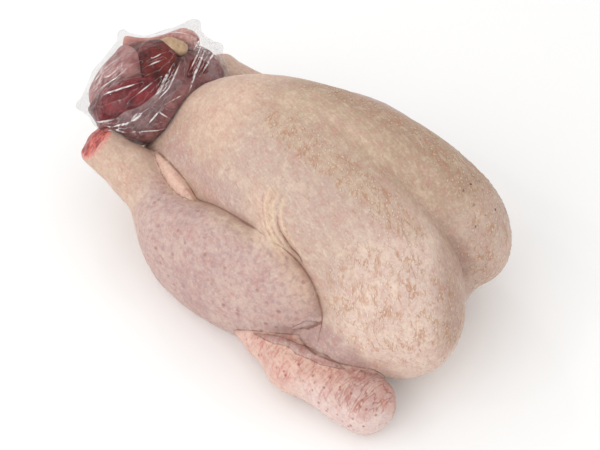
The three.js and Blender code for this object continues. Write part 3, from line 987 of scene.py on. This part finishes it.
def makeFilm():
    points, faces = surfaceOf(bagField, *bag["box"], bag["grid"])
    normal = unit(slopes(bagField, points))
    shine = filmShine(points, normal)
    along = np.array(bag["creaseAlong"], np.float32)
    along = along / np.linalg.norm(along)
    drawn = points - np.outer(points @ along, along) * (1 - 1 / bag["stretch"])
    drawn = drawn + 2 * np.stack([softNoise(points, 17, seed) for seed in (34, 35, 36)], 1)
    lift, ridge = 0, None
    for size, depth, seed in bag["creases"]:
        middle, border = bowls(drawn, size, seed)
        lift = lift + depth * (middle - 0.3)
        if ridge is None:
            ridge = border * size  # only the large creases have ridges that show
    clear = ramp(birdField(points), 1, 6)
    points = points + normal * (lift * clear)[:, None]
    inside = np.minimum.reduce([gibletField(points, name) for name in giblets])
    haze = 0.2 * ramp(inside, 4, 12)
    for place, reach, strength in bag["milky"]:
        haze = np.maximum(haze, strength * bell(np.linalg.norm(points - place, axis=1), reach))
    film = meshPiece("bag_film", points, faces, filmMaterial(), {
        "haze": haze, "shine": shine, "ridge": ridge, "rim": ramp(birdField(points), 3, 0.5),
    })
    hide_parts("giblet_bag")


giblets = {
    "liver": {
        "stations": [(-193, -51, 87, 10), (-179, -46, 101, 12), (-169, -39, 108, 12), (-160, -31, 114, 11),
                     (-152, -23, 119, 8)],
        "dark": (80, 24, 29), "light": (144, 56, 60), "roughness": 0.16,
    },
    "gizzard": {
        "stations": [(-176, 7, 124, 12), (-166, 0, 122, 15), (-155, -12, 120, 11)],
        "dark": (64, 19, 17), "light": (128, 44, 39), "roughness": 0.2,
    },
    "fat": {
        "stations": [(-178, 8, 130, 6), (-170, 16, 130, 7), (-160, 21, 128, 7)],
        "dark": (176, 136, 100), "light": (216, 188, 154), "roughness": 0.4,
    },
    "neck": {
        "stations": [(-206, 12, 117, 7), (-195, 25, 122, 9), (-180, 32, 124, 9), (-165, 38, 123, 8)],
        "dark": (172, 104, 98), "light": (212, 164, 152), "roughness": 0.35,
    },
    "heart": {
        "stations": [(-142, 22, 116, 8), (-134, 8, 116, 8)],
        "dark": (90, 26, 26), "light": (130, 52, 48), "roughness": 0.3,
    },
    "lobe": {
        "stations": [(-192, -44, 100, 12), (-204, -27, 109, 14), (-197, -14, 116, 15),
                     (-181, -14, 119, 14)],
        "dark": (140, 84, 84), "light": (184, 134, 128), "roughness": 0.35,
    },
    "flesh": {
        "stations": [(-160, -42, 92, 14), (-150, -32, 104, 16), (-140, -24, 102, 16), (-140, -10, 108, 15)],
        "dark": (114, 84, 86), "light": (166, 132, 131), "roughness": 0.25,
    },
}
# Each giblet lies a step deeper under the film than the one before it, so that no two share a surface
gibletMesh = {
    "grid": 1.6, "margin": 4, "clear": 1.5, "step": 0.35, "lumps": 1.3, "lumpSize": 13, "seed": 40,
}
trimmings = {
    "coarse": 1.5, "clear": 0.5, "depth": 9, "skinDepth": 1.5, "lumps": 2, "lumpSize": 18, "seed": 60,
    "dark": (112, 66, 68), "light": (160, 112, 108), "roughness": 0.35,
}


# A giblet, pressed against the inside of the film
def gibletField(p, name):
    place = list(giblets).index(name)
    lumps = gibletMesh["lumps"] * softNoise(p, gibletMesh["lumpSize"], gibletMesh["seed"] + place)
    clear = gibletMesh["clear"] + gibletMesh["step"] * place
    return cutBack(limb(p, giblets[name]["stations"]) + lumps, bagField(p) + clear, 3)


# The core of trimmings that fills the rest of the bag, out to the film beside the skin
def coreField(p):
    depth = between(trimmings["skinDepth"], trimmings["depth"], ramp(birdField(p), 4, 16))
    lumps = trimmings["lumps"] * softNoise(p, trimmings["lumpSize"], trimmings["seed"])
    return cutBack(rounded(p, bag["sack"]) + depth + lumps, bagField(p) + trimmings["clear"], 1)


def fleshMaterial(name, look):
    material, wire = newMaterial(f"{name} flesh")
    broad = wire.noise(wire.place(), 14, 4, 0.6, 0.3)
    fibre = wire.noise(wire.place((1, 3, 1), (0, 0, 30)), 3.0, 3)
    share = broad.steps(0.35, 0.66) * 0.7 + fibre.steps(0.4, 0.7) * 0.3
    colour = share.mix(paint(look["dark"]), paint(look["light"]))
    wire.surface({
        "Base Color": colour, "Roughness": look["roughness"], "Normal": fibre.bump(0.3, 0.8),
        "Specular IOR Level": 0.1,
    })
    return material


def makeGiblets():
    margin = gibletMesh["margin"]
    for name, look in giblets.items():
        stations = np.array(look["stations"])
        low = (stations[:, :3] - stations[:, 3:]).min(0) - margin
        high = (stations[:, :3] + stations[:, 3:]).max(0) + margin
        points, faces = surfaceOf(lambda p: gibletField(p, name), low, high, gibletMesh["grid"])
        meshPiece(f"giblet_{name}", points, faces, fleshMaterial(name, look))
    centre, half = (np.array(value) for value in bag["sack"][:2])
    grid = gibletMesh["grid"] * trimmings["coarse"]
    points, faces = surfaceOf(coreField, centre - half - margin, centre + half + margin, grid)
    meshPiece("giblet_trimmings", points, faces, fleshMaterial("trimmings", trimmings))


stage = {
    "aim": (-22, 0, 29), "azimuth": 38, "elevation": 45, "distance": 1065, "lens": 80, "sensor": 36,
    "sky": 0.93, "floorSide": 6.0, "floor": (253, 253, 252), "floorShade": (246, 245, 244),
    # Where each light stands from the aim, its distance and size in metres, and its power
    "lights": {
        "key": ((-0.05, -0.85, 0.5), 1.5, 1.1, 6),
        "glintLeft": ((-0.8, -0.1, 0.55), 1.3, 0.06, 0.5),
        "glintFront": ((-0.4, -0.55, 0.75), 1.3, 0.06, 0.5),
        "glintBack": ((-0.6, 0.35, 0.75), 1.3, 0.06, 0.5),
    },
}


def floorMaterial():
    material, wire = newMaterial("pale floor")
    soft = wire.noise(wire.place(), 300, 2)
    colour = (soft * 0.3).mix(paint(stage["floor"]), paint(stage["floorShade"]))
    wire.surface({"Base Color": colour, "Roughness": 0.7})
    return material


def makeStage():
    aim = Vector((np.array(stage["aim"]) - boxMiddle) * mm)
    half = stage["floorSide"] / 2
    corners = [(-half, -half, 0), (half, -half, 0), (half, half, 0), (-half, half, 0)]
    mesh = bpy.data.meshes.new("floor")
    mesh.from_pydata(corners, [], [(0, 1, 2, 3)])
    mesh.materials.append(floorMaterial())
    floor = bpy.data.objects.new("floor", mesh)
    scene.collection.objects.link(floor)
    azimuth, elevation = (math.radians(stage[key]) for key in ("azimuth", "elevation"))
    level = math.cos(elevation)
    back = Vector((math.sin(azimuth) * level, -math.cos(azimuth) * level, math.sin(elevation)))
    lens = bpy.data.cameras.new("camera")
    lens.lens = stage["lens"]
    lens.sensor_width = stage["sensor"]
    camera = bpy.data.objects.new("camera", lens)
    camera.location = aim + back * stage["distance"] * mm
    camera.rotation_euler = (-back).to_track_quat("-Z", "Y").to_euler()
    scene.collection.objects.link(camera)
    scene.camera = camera
    for name, (toward, distance, size, power) in stage["lights"].items():
        lamp = bpy.data.lights.new(name, "AREA")
        lamp.size = size
        lamp.energy = power
        light = bpy.data.objects.new(name, lamp)
        way = Vector(toward).normalized()
        light.location = aim + way * distance
        light.rotation_euler = (-way).to_track_quat("-Z", "Y").to_euler()
        scene.collection.objects.link(light)
    world = bpy.data.worlds.new("studio")
    world.use_nodes = True
    sky = world.node_tree.nodes["Background"]
    sky.inputs["Color"].default_value = (1, 1, 1, 1)
    sky.inputs["Strength"].default_value = stage["sky"]
    scene.world = world
    scene.view_settings.view_transform = "Standard"
    print("stage: floor, camera and lights")


makeStage()
skin = makeSkin()
for name in scatters:
    makeScatter(skin, name)
makeHockCuts()
makeFilm()
makeGiblets()
